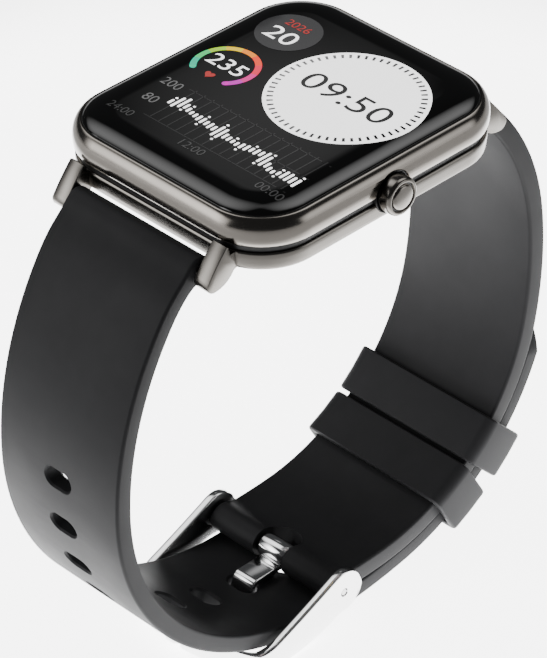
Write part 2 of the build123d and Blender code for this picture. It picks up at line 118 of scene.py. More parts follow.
BUCKLE_PATH = ArcPath((LUG_BAR_Y, LUG_BAR_Z), math.radians(-42),
                      [(34.5, -18.2), (33.8, -33.7), (6.8, -57.4), BUCKLE_BAR])
KEEPER_CENTRE, KEEPER_ARC = BUCKLE_PATH.arcs[2][:2]
TAIL_ARC = KEEPER_ARC + (BUCKLE_HALF_THICK + TAIL_THICK) / 2 + LAYER_GAP


def on_tail_arc(degrees):
    polar = math.radians(degrees)
    return (KEEPER_CENTRE[0] + TAIL_ARC * math.cos(polar), KEEPER_CENTRE[1] + TAIL_ARC * math.sin(polar))


TAIL_PATH = ArcPath(on_tail_arc(12), math.radians(-78),
                    [on_tail_arc(-80), (-3.4, -60.85), (-36.8, -26.8), (-28.9, -1.9),
                     (-LUG_BAR_Y, LUG_BAR_Z)])


def tail_length_at(y, out=0.0):
    """Length along the tail at which it passes a given Y on the bottom of the loop."""
    low, high = 0.0, 110.0
    for _ in range(50):
        middle = (low + high) / 2
        if TAIL_PATH.at(middle, out)[0] > y:
            low = middle
        else:
            high = middle
    return low


# ---------------------------------------------------------------- mesh helpers

def arc(p, q, r, count):
    """Points on the circle arc from p through q to r."""
    (ax, ay), (bx, by), (cx, cy) = p, q, r
    d = 2 * (ax * (by - cy) + bx * (cy - ay) + cx * (ay - by))
    ux = ((ax**2 + ay**2) * (by - cy) + (bx**2 + by**2) * (cy - ay) + (cx**2 + cy**2) * (ay - by)) / d
    uy = ((ax**2 + ay**2) * (cx - bx) + (bx**2 + by**2) * (ax - cx) + (cx**2 + cy**2) * (bx - ax)) / d
    radius = math.hypot(ax - ux, ay - uy)
    a0, a1, a2 = (math.atan2(y - uy, x - ux) for x, y in (p, q, r))
    turn = (a2 - a0) % (2 * math.pi)
    if (a1 - a0) % (2 * math.pi) > turn:
        turn -= 2 * math.pi
    return [(ux + radius * math.cos(a0 + turn * k / count), uy + radius * math.sin(a0 + turn * k / count))
            for k in range(count + 1)]


def rounded_rect(x0, x1, y0, y1, radius, steps=6):
    """Rounded rectangle as a list of (x, y), anticlockwise from the +x, -y corner."""
    radius = min(radius, (x1 - x0) * 0.499, (y1 - y0) * 0.499)
    points = []
    for cx, cy, start in ((x1 - radius, y0 + radius, -90), (x1 - radius, y1 - radius, 0),
                          (x0 + radius, y1 - radius, 90), (x0 + radius, y0 + radius, 180)):
        for k in range(steps + 1):
            a = math.radians(start + 90 * k / steps)
            points.append((cx + radius * math.cos(a), cy + radius * math.sin(a)))
    return points


def outline(grow, z, steps=14):
    """Head outline at a height, grown outwards from the glass edge line."""
    w, l = GLASS_WIDTH / 2 + grow, GLASS_LENGTH / 2 + grow
    return [(x, y, z) for x, y in rounded_rect(-w, w, -l, l, GLASS_CORNER + grow, steps)]


def loft(rings, caps=True, loop=False):
    """Faces over equal rings of points; `loop` joins the last ring to the first."""
    n = len(rings[0])
    verts = [p for ring in rings for p in ring]
    faces = []
    last = len(rings) if loop else len(rings) - 1
    for r in range(last):
        a, b = r * n, ((r + 1) % len(rings)) * n
        faces += [(a + k, a + (k + 1) % n, b + (k + 1) % n, b + k) for k in range(n)]
    if caps and not loop:
        faces += [tuple(range(n))[::-1], tuple(range((len(rings) - 1) * n, len(rings) * n))]
    return verts, faces


def revolve_x(profile, y, z, steps=48):
    """Surface of revolution about X: profile is (x, radius), closed on the axis."""
    rings = []
    for x, radius in profile:
        radius = max(radius, 0.004)
        turns = [2 * math.pi * k / steps for k in range(steps)]
        rings.append([(x, y + radius * math.cos(a), z + radius * math.sin(a)) for a in turns])
    return loft(rings)


def prism_x(profile, x0, x1, bevel):
    """Prism along X over a (y, z) polygon, its two rims rounded."""
    def inset(amount):
        count = len(profile)
        area = sum(profile[k][0] * profile[(k + 1) % count][1] - profile[(k + 1) % count][0] * profile[k][1]
                   for k in range(count))
        turn = 1 if area > 0 else -1
        points = []
        for k in range(count):
            (ay, az), (by, bz), (cy, cz) = profile[k - 1], profile[k], profile[(k + 1) % count]
            n1 = Vector((-(bz - az), by - ay)).normalized()
            n2 = Vector((-(cz - bz), cy - by)).normalized()
            mid = n1 + n2
            mid = mid / max(mid.length_squared / 2, 0.5)
            points.append((by + turn * amount * mid.x, bz + turn * amount * mid.y))
        return points

    stations = [(x0, 1.0), (x0 + 0.3 * bevel, 0.3), (x0 + bevel, 0.0),
                (x1 - bevel, 0.0), (x1 - 0.3 * bevel, 0.3), (x1, 1.0)]
    return loft([[(x, y, z) for y, z in inset(bevel * share)] for x, share in stations])


def mirror_mesh(part, sx=1, sy=1):
    """A copy of (verts, faces) mirrored in X and/or Y."""
    verts, faces = part
    return [(sx * x, sy * y, z) for x, y, z in verts], faces


def raw_object(name, part):
    mesh = bpy.data.meshes.new(name)
    mesh.from_pydata([[c * MM for c in v] for v in part[0]], [], part[1])
    bm = bmesh.new()
    bm.from_mesh(mesh)
    bmesh.ops.remove_doubles(bm, verts=bm.verts, dist=1e-7)
    bmesh.ops.recalc_face_normals(bm, faces=bm.faces)
    bm.to_mesh(mesh)
    bm.free()
    obj = bpy.data.objects.new(name, mesh)
    bpy.context.scene.collection.objects.link(obj)
    return obj


def cut_mesh(obj, cutters, operation="DIFFERENCE"):
    """Boolean with each cutter in turn, written into the mesh."""
    for part in cutters:
        cutter = raw_object("cutter", part)
        step = obj.modifiers.new("cut", "BOOLEAN")
        step.operation = operation
        step.solver = "EXACT"
        step.object = cutter
        depsgraph = bpy.context.evaluated_depsgraph_get()
        done = bpy.data.meshes.new_from_object(obj.evaluated_get(depsgraph))
        obj.modifiers.clear()
        obj.data = done
        bpy.data.objects.remove(cutter)


def make_piece(name, part, material, body, replaces=(), cutters=(), sharp=34):
    """One finished piece: mesh, cuts, smooth shading with sharp creases, material, body and slot."""
    obj = raw_object(name, part)
    cut_mesh(obj, cutters)
    obj.data.name = name
    obj.data.materials.clear()
    obj.data.materials.append(material)
    obj.data.shade_smooth()
    obj.data.set_sharp_from_angle(angle=math.radians(sharp))
    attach(obj, body)
    if replaces:
        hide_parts(*replaces)
    return obj


def rod_x(radius, x0, x1, y, z, steps=32):
    return revolve_x([(x0, radius), (x1, radius)], y, z, steps)


# ---------------------------------------------------------------- materials

def material(name, base, roughness, metallic=0.0, grain=0.0004, grain_depth=0.0, spread=0.06, tint=0.12,
             coat=0.0, specular=0.5, scratch=0.0):
    """Principled surface whose colour, roughness and relief vary at real scale."""
    mat = bpy.data.materials.new(name)
    mat.use_nodes = True
    nodes, links = mat.node_tree.nodes, mat.node_tree.links
    shader = nodes["Principled BSDF"]
    shader.inputs["Metallic"].default_value = metallic
    shader.inputs["Specular IOR Level"].default_value = specular
    shader.inputs["Coat Weight"].default_value = coat
    shader.inputs["Coat Roughness"].default_value = 0.04
    place = nodes.new("ShaderNodeTexCoord")

    def noise(size, detail=3.0, stretch=None):
        tex = nodes.new("ShaderNodeTexNoise")
        tex.inputs["Scale"].default_value = 1.0
        tex.inputs["Detail"].default_value = detail
        mapping = nodes.new("ShaderNodeMapping")
        mapping.inputs["Scale"].default_value = [k / size for k in (stretch or (1, 1, 1))]
        links.new(place.outputs["Object"], mapping.inputs["Vector"])
        links.new(mapping.outputs["Vector"], tex.inputs["Vector"])
        return tex.outputs["Fac"]

    smudge = noise(0.009, 4.0)
    ramp = nodes.new("ShaderNodeMapRange")
    ramp.inputs["From Min"].default_value = 0.3
    ramp.inputs["From Max"].default_value = 0.7
    ramp.inputs["To Min"].default_value = max(roughness - spread, 0.02)
    ramp.inputs["To Max"].default_value = roughness + spread
    links.new(smudge, ramp.inputs["Value"])
    links.new(ramp.outputs["Result"], shader.inputs["Roughness"])

    colour = nodes.new("ShaderNodeMix")
    colour.data_type = "RGBA"
    colour.inputs[6].default_value = [c * (1 - tint) for c in base] + [1]
    colour.inputs[7].default_value = [min(c * (1 + tint), 1) for c in base] + [1]
    links.new(noise(0.0025, 2.0), colour.inputs[0])
    links.new(colour.outputs[2], shader.inputs["Base Color"])

    if grain_depth:
        bump = nodes.new("ShaderNodeBump")
        bump.inputs["Distance"].default_value = grain_depth
        bump.inputs["Strength"].default_value = 0.6
        links.new(noise(grain, 2.0), bump.inputs["Height"])
        links.new(bump.outputs["Normal"], shader.inputs["Normal"])
        if scratch:
            lines = nodes.new("ShaderNodeBump")
            lines.inputs["Distance"].default_value = scratch
            lines.inputs["Strength"].default_value = 0.4
            links.new(noise(0.0003, 1.0, (1.0, 0.03, 1.0)), lines.inputs["Height"])
            links.new(lines.outputs["Normal"], bump.inputs["Normal"])
    return mat


def screen_material(name, colour, glow):
    """Lit part of the display: colour that gives its own light, under the glass's gloss."""
    mat = material(name, colour, 0.12, tint=0.02, coat=1.0)
    shader = mat.node_tree.nodes["Principled BSDF"]
    shader.inputs["Emission Color"].default_value = (*colour, 1)
    shader.inputs["Emission Strength"].default_value = glow
    return mat


GLASS = material("black_glass", (0.002, 0.002, 0.002), 0.05, spread=0.015, tint=0.05, coat=0.0, specular=0.6)
GUNMETAL = material("gunmetal", (0.205, 0.19, 0.172), 0.17, 1.0, grain=0.00025, grain_depth=0.0000015,
                    spread=0.04, tint=0.05, scratch=0.000002)
# darker copy of the gunmetal for the crown: painted shade
GUNMETAL_PAINTED_SHADE = material("gunmetal_painted_shade", (0.17, 0.160, 0.146), 0.2, 1.0, grain=0.00025,
                         grain_depth=0.0000015, spread=0.04, tint=0.05, scratch=0.000002)
GUNMETAL_SATIN = material("gunmetal_satin", (0.15, 0.141, 0.129), 0.24, 1.0, grain=0.0002,
                          grain_depth=0.000003, spread=0.05, tint=0.05, scratch=0.000003)
BLACK_PLASTIC = material("black_plastic", (0.012, 0.012, 0.013), 0.42, grain=0.0001, grain_depth=0.000006)
SILICONE = material("silicone", (0.022, 0.022, 0.0232), 0.50, grain=0.00012, grain_depth=0.000009,
                    spread=0.05, tint=0.10, specular=0.09)
STEEL = material("polished_steel", (0.80, 0.80, 0.80), 0.11, 1.0, grain=0.0003, grain_depth=0.000001,
                 spread=0.035, tint=0.03, scratch=0.0000015)
BAR_STEEL = material("bar_steel", (0.55, 0.55, 0.55), 0.28, 1.0, grain=0.0002, grain_depth=0.000003,
                     scratch=0.000004)
GOLD = material("gold_plate", (0.80, 0.56, 0.24), 0.22, 1.0, grain=0.0002, grain_depth=0.000002)
WINDOW = material("sensor_window", (0.020, 0.006, 0.006), 0.06, spread=0.03, coat=1.0)
RUBBER = material("seal_rubber", (0.02, 0.02, 0.02), 0.6, grain=0.0002, grain_depth=0.00001)
BOARD = material("solder_mask", (0.015, 0.09, 0.04), 0.35, grain=0.0006, grain_depth=0.00001)
FOIL = material("cell_wrap", (0.28, 0.28, 0.29), 0.35, 0.6, grain=0.001, grain_depth=0.00002)
CARRIER = material("carrier_plastic", (0.06, 0.06, 0.065), 0.5, grain=0.0002, grain_depth=0.000008)
FLEX = material("amber_flex", (0.42, 0.19, 0.04), 0.3, grain=0.0005, grain_depth=0.000004)

BY_SLOT = {
    "glass": GLASS, "upper_metal": GUNMETAL, "lower_metal": GUNMETAL_SATIN, "black_plastic": BLACK_PLASTIC,
    "window": WINDOW, "gold": GOLD, "seal": RUBBER, "panel": BLACK_PLASTIC, "carrier": CARRIER, "flex": FLEX,
    "steel": BAR_STEEL, "board": BOARD, "cell": FOIL, "magnet": BAR_STEEL, "crown_metal": GUNMETAL_PAINTED_SHADE,
    "strap": SILICONE, "buckle_metal": STEEL,
}
for part in frame["record"]["subparts"]:
    cad = bpy.data.objects.get(part["node"])
    if cad is not None:
        for place in cad.material_slots:
            place.link = "OBJECT"
            place.material = BY_SLOT[part["material_slot"]]


# ---------------------------------------------------------------- head

DOME = [(-0.32, 9.75), (-0.36, 9.86), (-0.5, 10.0), (-0.8, 10.18), (-1.2, 10.35), (-1.8, 10.53),
        (-2.5, 10.67), (-3.4, 10.765), (-4.4, 10.8)]


def dome_height(x, y):
    """Height of the glass over a point."""
    cx, cy = GLASS_WIDTH / 2 - GLASS_CORNER, GLASS_LENGTH / 2 - GLASS_CORNER
    dx, dy = abs(x) - cx, abs(y) - cy
    if dx > 0 and dy > 0:
        grow = math.hypot(dx, dy) - GLASS_CORNER
    else:
        grow = max(dx, dy) - GLASS_CORNER
    for (g0, z0), (g1, z1) in zip(DOME, DOME[1:]):
        if g1 <= grow <= g0:
            return z0 + (z1 - z0) * (grow - g0) / (g1 - g0)
    return DOME[-1][1] if grow < DOME[-1][0] else DOME[0][1]


def glass():
    rings = [outline(g, z) for g, z in [(-0.34, 8.95)] + DOME]
    make_piece("cover_glass_domed", loft(rings), GLASS, "watch", ["cover_glass"], sharp=25)
    gasket = [outline(g, z) for g, z in [(-0.33, 9.0), (-0.33, 9.74), (-0.22, 9.76), (-0.22, 9.0)]]
    make_piece("glass_edge_seal", loft(gasket, loop=True), RUBBER, "watch")


def recess():
    """Round pocket that the crown sinks into, with an eased mouth."""
    r = CROWN_RADIUS + 0.25
    mouth = [(17.6, r), (18.25, r), (18.5, r + 0.12), (18.8, r + 0.4), (21, r + 2.6)]
    return revolve_x(mouth, 0, CROWN_Z, 48)


def crown_bore():
    """Way through the wall for the crown's steel tube."""
    return revolve_x([(14, CROWN_BORE), (20, CROWN_BORE)], 0, CROWN_Z)


def upper_band():
    profile = [
        (0.70, 6.25), (0.82, 6.29), (0.90, 6.42), (0.96, 6.8), (1.00, 7.25), (1.0, 7.7), (0.96, 8.1),
        (0.87, 8.5), (0.73, 8.88), (0.54, 9.22), (0.32, 9.52), (0.10, 9.72), (-0.02, 9.79), (-0.14, 9.79),
        (-0.2, 9.72), (-0.2, 8.9), (-1.4, 8.9), (-1.4, 6.25),
    ]
    rings = [outline(g, z) for g, z in profile]
    make_piece("upper_band", loft(rings, loop=True), GUNMETAL, "watch", ["upper_case"],
               [recess(), crown_bore()])


def lug_profile():
    points = [(19.6, 3.0), (19.6, 5.2), (21.55, 5.2), (21.6, 5.9), (21.75, 6.25), (22.05, 6.38)]
    points += arc((22.05, 6.38), (23.72, 4.45), (25.2, 2.4), 8)[1:]
    points += arc((25.2, 2.4), (24.9, 1.35), (23.9, 1.05), 5)[1:]
    points += arc((23.9, 1.05), (22.1, 1.6), (20.95, 2.75), 5)[1:]
    return points + [(20.3, 3.0)]


def lower_band():
    profile = [
        (0.28, 2.9), (0.46, 2.93), (0.57, 3.05), (0.63, 3.3), (0.68, 3.8), (0.73, 4.4), (0.75, 4.9),
        (0.71, 5.16), (0.6, 5.28), (0.45, 5.3), (-1.4, 5.3), (-1.4, 2.9),
    ]
    rings = [outline(g, z) for g, z in profile]
    lug = prism_x(lug_profile(), LUG_INNER, LUG_INNER + LUG_WIDTH, 0.14)
    band = make_piece("lower_band", loft(rings, loop=True), GUNMETAL_SATIN, "watch",
                      ["lower_case"], [recess(), crown_bore()])
    cut_mesh(band, [mirror_mesh(lug, sx, sy) for sx in (-1, 1) for sy in (-1, 1)], "UNION")
    band.data.name = "lower_band"
    band.data.shade_smooth()
    band.data.set_sharp_from_angle(angle=math.radians(34))


def groove_ring():
    profile = [(0.40, 5.32), (0.42, 5.5), (0.42, 6.05), (0.40, 6.24), (-1.3, 6.24), (-1.3, 5.32)]
    rings = [outline(g, z) for g, z in profile]
    make_piece("groove_ring", loft(rings, loop=True), BLACK_PLASTIC, "watch",
               ["antenna_ring"], [recess(), crown_bore()])


def crown():
    profile = [(18.1, 0), (18.1, 2.25), (18.22, 2.42), (18.42, 2.5), (19.75, 2.5), (20.02, 2.44), (20.2, 2.3),
               (20.27, 2.12), (20.24, 1.98), (20.12, 1.9), (20.0, 1.86), (19.97, 1.74), (20.06, 1.66),
               (20.22, 1.62), (20.33, 1.5), (20.4, 1.25), (20.46, 0.8), (20.49, 0.4), (20.5, 0)]
    make_piece("crown_button", revolve_x(profile, 0, CROWN_Z, 64), GUNMETAL_PAINTED_SHADE, "crown",
               ["crown_cap"])
    # black lining of the crown's pocket: painted shade
    well = revolve_x([(17.61, 2.745), (18.4, 2.745)], 0, CROWN_Z, 48)
    openings = [revolve_x([(x0, radius), (x1, radius)], 0, CROWN_Z, 48)
                for x0, x1, radius in ((17.67, 19, 2.66), (17, 18, 1.8))]
    make_piece("crown_well_painted_shade", well, BLACK_PLASTIC, "watch", cutters=openings)
    # black ring in the bottom of the crown's groove: painted shade
    groove = revolve_x([(19.6, 1.9), (20.0, 1.9)], 0, CROWN_Z, 64)
    make_piece("crown_groove_painted_shade", groove, BLACK_PLASTIC, "crown",
               cutters=[revolve_x([(19, 1.68), (21, 1.68)], 0, CROWN_Z, 64)])


# ---------------------------------------------------------------- strap

def strap_rings(path, stations):
    """Rounded strip sections at (s, half width, inner, outer, corner radius)."""
    rings = []
    for s, half, low, high, corner in stations:
        section = rounded_rect(-half, half, low, high, corner, 5)
        rings.append([(x, *path.at(s, out)) for x, out in section])
    return rings


def steps(a, b, size):
    count = max(int(math.ceil(abs(b - a) / size)), 1)
    return [a + (b - a) * k / count for k in range(count + 1)]


def end_half_thickness(distance, roll, flat):
    """Half thickness near a rolled end: `distance` is from the bar, negative beyond it."""
    if distance <= 0:
        return math.sqrt(max(roll**2 - distance**2, 0.0))
    circle = math.sqrt(max(roll**2 - distance**2, 0.0))
    ease = flat + (roll - flat) * math.exp(-(distance / 1.6) ** 2)
    return max(circle, ease, flat)


def hole_cutter(s, path, half_thick, length=4.4, width=2.6, lip=0.22):
    """Obround hole with eased rims."""
    rings = []
    for out, grow in ((-half_thick - 1, lip + 0.8), (-half_thick, lip), (-half_thick + 0.3, 0.0),
                      (half_thick - 0.3, 0.0), (half_thick, lip), (half_thick + 1, lip + 0.8)):
        w, l = width / 2 + grow, length / 2 + grow
        y0, z0 = path.at(s, 0)
        y1, z1 = path.at(s, 1)
        ny, nz = y1 - y0, z1 - z0
        ring = []
        for u, v in rounded_rect(-l, l, -w, w, w, 8):
            ring.append((u, y0 + ny * out - nz * v, z0 + nz * out + ny * v))
        rings.append(ring)
    return loft(rings)


def strap_buckle_half():
    flat = BUCKLE_HALF_THICK / 2
    length = BUCKLE_PATH.length
    marks = [-1.695, -1.66, -1.55, -1.4, -1.15, -0.8, -0.4, 0, 0.4, 0.8, 1.1, 1.5, 2.0, 2.6, 3.3, 4.2]
    marks += steps(5, length - 6, 1.3)
    marks += [length - d for d in (5, 4.2, 3.4, 2.7, 2.1, 1.6, 1.2, 0.8, 0.4, 0, -0.5, -1.0, -1.4, -1.7,
                                   -1.88, -1.97)]
    stations = []
    for s in marks:
        if s < length / 2:
            half_thick = end_half_thickness(s, STRAP_ROLL, flat)
            half = STRAP_HALF
        else:
            half_thick = end_half_thickness(length - s, KNUCKLE_ROLL, flat)
            half = STRAP_HALF - 0.15 * math.exp(-((length - s) / 3) ** 2)
        stations.append((s, half, -half_thick, half_thick, STRAP_CORNER))
    y, z = BUCKLE_BAR
    w = TANG_SLOT_HALF
    slot_round = [(w * math.cos(math.radians(a)), w * math.sin(math.radians(a))) for a in range(15, 180, 15)]
    slot = [(x, y + 0.9 + dy) for x, dy in [(-w, -8), (w, -8), (w, 0)] + slot_round + [(-w, 0)]]
    slot_cutter = loft([[(x, py, pz) for x, py in slot] for pz in (z - 5, z + 5)])
    cutters = [rod_x(BAR_HOLE, -CUT_REACH, CUT_REACH, LUG_BAR_Y, LUG_BAR_Z),
                rod_x(BAR_HOLE, -CUT_REACH, CUT_REACH, y, z), slot_cutter]
    make_piece("strap_short_half", loft(strap_rings(BUCKLE_PATH, stations)), SILICONE, "watch",
               ["strap_buckle_half"], cutters)


def tail_half_width(s):
    """Half width of the tail: full at the lugs, slim past the curve, arched at the tip."""
    y, z = TAIL_PATH.at(s)
    half = TAIL_SLIM_HALF + (STRAP_HALF - TAIL_SLIM_HALF) * min(max(1 + z / 42, 0), 1)
    if s < 40 and z > TIP_ARCH_START:
        from_centre = z - TIP_TOP + TIP_ARCH_RADIUS
        half = min(half, math.sqrt(max(TIP_ARCH_RADIUS**2 - from_centre**2, 0.0)))
    return half


def strap_tail():
    flat = TAIL_THICK / 2
    length = TAIL_PATH.length
    low, high = 0.0, 30.0
    for _ in range(50):
        tip = (low + high) / 2
        if TAIL_PATH.at(tip)[1] > TIP_TOP:
            low = tip
        else:
            high = tip
    marks = [tip + d for d in (0.004, 0.03, 0.1, 0.2, 0.35, 0.6, 0.9, 1.3, 1.8, 2.4, 3.0, 3.7, 4.5, 5.3,
                               6.1, 6.8, 7.4)]
    marks += steps(tip + 8.2, length - 5, 1.4)
    marks += [length - d for d in (4.2, 3.3, 2.6, 2.0, 1.5, 1.1, 0.8, 0.4, 0, -0.4, -0.8, -1.15, -1.4,
                                   -1.55, -1.66, -1.695)]
    stations = []
    for s in marks:
        half_thick = end_half_thickness(length - s, STRAP_ROLL, flat)
        if s < tip + 1.0:
            half_thick = min(half_thick, flat - 0.6 + 0.6 * math.sqrt(max(1 - (1 - (s - tip)) ** 2, 0)))
        stations.append((s, tail_half_width(s), -half_thick, half_thick, STRAP_CORNER))
    first_hole = tail_length_at(TANG_HOLE_Y) - HOLES_BEFORE_TANG * HOLE_PITCH
    cutters = [hole_cutter(first_hole + k * HOLE_PITCH, TAIL_PATH, flat) for k in range(HOLE_COUNT)]
    cutters.append(rod_x(BAR_HOLE, -CUT_REACH, CUT_REACH, -LUG_BAR_Y, LUG_BAR_Z))
    make_piece("strap_long_half", loft(strap_rings(TAIL_PATH, stations)), SILICONE, "watch",
               ["strap_tail"], cutters)


def keeper(name, node, angle):
    """Loop round both layers; its walls follow their common arc."""
    inner = KEEPER_ARC - BUCKLE_HALF_THICK / 2 - KEEPER_CLEARANCE
    outer = TAIL_ARC + TAIL_THICK / 2 + KEEPER_CLEARANCE
    half = STRAP_HALF + KEEPER_CLEARANCE
    a = math.radians(angle)
    wall, reach = KEEPER_WALL, KEEPER_REACH

    def ring(t, x_half, n0, n1, corner):
        points = []
        for x, n in rounded_rect(-x_half, x_half, n0, n1, corner, 6):
            radial = math.sqrt(n * n - t * t)
            points.append((x, KEEPER_CENTRE[0] + radial * math.cos(a) - t * math.sin(a),
                           KEEPER_CENTRE[1] + radial * math.sin(a) + t * math.cos(a)))
        return points

    edge = [(reach, -0.42), (reach - 0.06, -0.2), (reach - 0.18, -0.06), (reach - 0.42, 0.0)]
    outside = [(-t, d) for t, d in edge] + [(0.0, 0.0)] + edge[::-1]
    rings = [ring(t, half + wall + d, inner - wall - d, outer + wall + d, 1.5 + d) for t, d in outside]
    inside = [(reach - 0.02, -0.24), (reach - 0.12, -0.08), (reach - 0.3, 0.0), (0, 0), (-reach + 0.3, 0.0),
              (-reach + 0.12, -0.08), (-reach + 0.02, -0.24)]
    rings += [ring(t, half - d, inner + d, outer - d, 0.55) for t, d in inside]
    make_piece(name, loft(rings, loop=True), SILICONE, node, [node])


# ---------------------------------------------------------------- buckle

def circle_z(points, y, top):
    """Height of the circle through three (y, z) points, at y."""
    (ax, ay), (bx, by), (cx, cy) = points
    d = 2 * (ax * (by - cy) + bx * (cy - ay) + cx * (ay - by))
    uy = ((ax**2 + ay**2) * (by - cy) + (bx**2 + by**2) * (cy - ay) + (cx**2 + cy**2) * (ay - by)) / d
    uz = ((ax**2 + ay**2) * (cx - bx) + (bx**2 + by**2) * (ax - cx) + (cx**2 + cy**2) * (bx - ax)) / d
    radius = math.hypot(ax - uy, ay - uz)
    rise = math.sqrt(max(radius**2 - (y - uy) ** 2, 0.0))
    return uz + rise if top else uz - rise


def buckle_frame():
    bar_y, bar_z = BUCKLE_BAR
    eye = EYE_RADIUS
    over_tail = TAIL_THICK / 2 + BOW_CLEARANCE
    bow_y = TAIL_PATH.at(tail_length_at(-15.2), over_tail)
    top_arc = [bow_y, (-9.0, -57.3), (bar_y - 1.0, bar_z + 2.93)]
    low_arc = [(bar_y - 0.6, bar_z - 3.04), (-9.5, -62.5), (-22.8, -60.35)]

    def top(y):
        if y > bar_y - 1.0:
            return bar_z + math.sqrt(max(eye**2 - (y - bar_y) ** 2, 0.0))
        if y > bow_y[0]:
            return circle_z(top_arc, y, TOP_IS_UPPER)
        return TAIL_PATH.at(tail_length_at(y, over_tail), over_tail)[1]

    def bottom(y):
        if y > bar_y - 0.6:
            return bar_z - math.sqrt(max(eye**2 - (y - bar_y) ** 2, 0.0))
        return circle_z(low_arc, y, False)

    (ay, az), (by, bz), (cy, cz) = top_arc
    TOP_IS_UPPER = bz > az + (cz - az) * (by - ay) / (cy - ay)

    def half_plan(half, shoulder_y, tip_y):
        corner = (half - 2.65, shoulder_y - 4.8)
        points = arc((half, shoulder_y), (half - 0.65, shoulder_y - 2.6), corner, 8)
        bow = arc(corner, (0, tip_y), (-corner[0], corner[1]), 32)
        return points + bow[1:17]

    ends = [bar_y + eye * math.cos(math.radians(k)) for k in (3, 12, 24, 36, 48, 60, 72, 84, 96)]
    arm = ends + steps(bar_y - 1.2, -11.6, 0.9)
    outer = [(BOW_OUTER, y) for y in arm] + half_plan(BOW_OUTER, -13.2, -21.2)
    inner = [(BOW_INNER, y) for y in arm] + half_plan(BOW_INNER, -12.9, -19.8)
    rings = []
    for (ox, oy), (ix, iy) in zip(outer, inner):
        height = top(oy) - bottom(oy)
        thick = math.hypot(ox - ix, oy - iy)
        c = min(0.34, 0.4 * height, 0.4 * thick)

        def at(share, z_share, dz):
            x, y = ox + (ix - ox) * share, oy + (iy - oy) * share
            low, high = bottom(y), top(y)
            return (x, y, low + (high - low) * z_share + dz)

        f = c / thick
        rings.append([at(f, 0, 0), at(0.3 * f, 0, 0.3 * c), at(0, 0, c), at(0, 1, -c),
                      at(0.3 * f, 1, -0.3 * c), at(f, 1, 0), at(1 - f, 1, 0),
                      at(1 - 0.3 * f, 1, -0.3 * c), at(1, 1, -c), at(1, 0, c),
                      at(1 - 0.3 * f, 0, 0.3 * c), at(1 - f, 0, 0)])
    other = [[(-x, y, z) for x, y, z in ring] for ring in rings[:-1][::-1]]
    notch = loft([[(x, y, z) for x, y in ((-2.1, -23.5), (2.1, -23.5), (2.1, -17.5), (-2.1, -17.5))]
                  for z in (-64, -60.2)])
    hole_profile = [(-13, 1.0), (-12.15, 0.62), (-11.95, 0.5), (11.95, 0.5), (12.15, 0.62), (13, 1.0)]
    hole = revolve_x(hole_profile, bar_y, bar_z, 32)
    make_piece("buckle_bow", loft(rings + other), STEEL, "buckle_frame", ["buckle_frame"],
               [hole, notch])


def eased_route(points, radius):
    """Polyline in (y, z) with rounded corners."""
    route = [Vector(points[0])]
    for k in range(1, len(points) - 1):
        p, q, r = Vector(points[k - 1]), Vector(points[k]), Vector(points[k + 1])
        u, v = (p - q).normalized(), (r - q).normalized()
        reach = radius / math.tan(u.angle(v) / 2)
        a, b = q + u * reach, q + v * reach
        for m in range(7):
            t = m / 6
            route.append(a * (1 - t) ** 2 + q * (2 * t * (1 - t)) + b * t**2)
    route.append(Vector(points[-1]))
    return route


def buckle_tang():
    y, z = BUCKLE_BAR
    barrel = revolve_x([(-2.3, 0.82), (-2.3, 1.35), (-2.22, 1.52), (-2.05, 1.6), (2.05, 1.6), (2.22, 1.52),
                        (2.3, 1.35), (2.3, 0.82)], y, z, 48)
    points = [(y - 0.2, z - 1.15), (-4.4, -58.65), (-7.5, -58.65), (-8.9, -62.15), (-20.9, -60.75)]
    line = eased_route(points, 0.7)
    tail_part = [line[-1] + (line[-2] - line[-1]).normalized() * d
                 for d in (9.0, 6.0, 3.0, 1.6, 0.9, 0.45, 0.15, 0.0)]
    line = line[:-1] + tail_part
    widths = [1.8] * (len(line) - 6) + [1.76, 1.66, 1.45, 1.2, 0.95, 0.7]
    rings = []
    for k, point in enumerate(line):
        ahead = line[min(k + 1, len(line) - 1)] - line[max(k - 1, 0)]
        normal = Vector((-ahead.y, ahead.x)).normalized()
        section = rounded_rect(-widths[k], widths[k], -0.4, 0.4, 0.2, 3)
        rings.append([(u, point.x + normal.x * v, point.y + normal.y * v) for u, v in section])
    obj = make_piece("buckle_tongue", barrel, STEEL, "buckle_tang", ["buckle_tang"])
    cut_mesh(obj, [loft(rings)], "UNION")
    obj.data.name = "buckle_tongue"
    obj.data.shade_smooth()
    obj.data.set_sharp_from_angle(angle=math.radians(34))


# ---------------------------------------------------------------- what the display shows

LIFT = 0.03


def flat_piece(name, polygons, mat, lift=LIFT):
    """Thin figure laid on the dome of the glass: polygons are lists of (x, y)."""
    verts, faces = [], []
    for polygon in polygons:
        base = len(verts)
        verts += [(x, y, dome_height(x, y) + lift) for x, y in polygon]
        faces.append(tuple(range(base, len(verts))))
    return make_piece(name, (verts, faces), mat, "watch")


def ring_quads(cx, cy, r0, r1, start, end, count):
    quads = []
    for k in range(count):
        a, b = (math.radians(start + (end - start) * (k + d) / count) for d in (0, 1))
        corners = ((r0, a), (r1, a), (r1, b), (r0, b))
        quads.append([(cx + r * math.cos(t), cy + r * math.sin(t)) for r, t in corners])
    return quads


def disc_quads(cx, cy, radius, pitch=0.8, count=72):
    radii = [radius * k / math.ceil(radius / pitch) for k in range(1, math.ceil(radius / pitch) + 1)]
    turns = [2 * math.pi * k / count for k in range(count)]
    polygons = [[(cx + radii[0] * math.cos(a), cy + radii[0] * math.sin(a)) for a in turns]]
    for r0, r1 in zip(radii, radii[1:]):
        polygons += ring_quads(cx, cy, r0, r1, 0, 360, count)
    return polygons


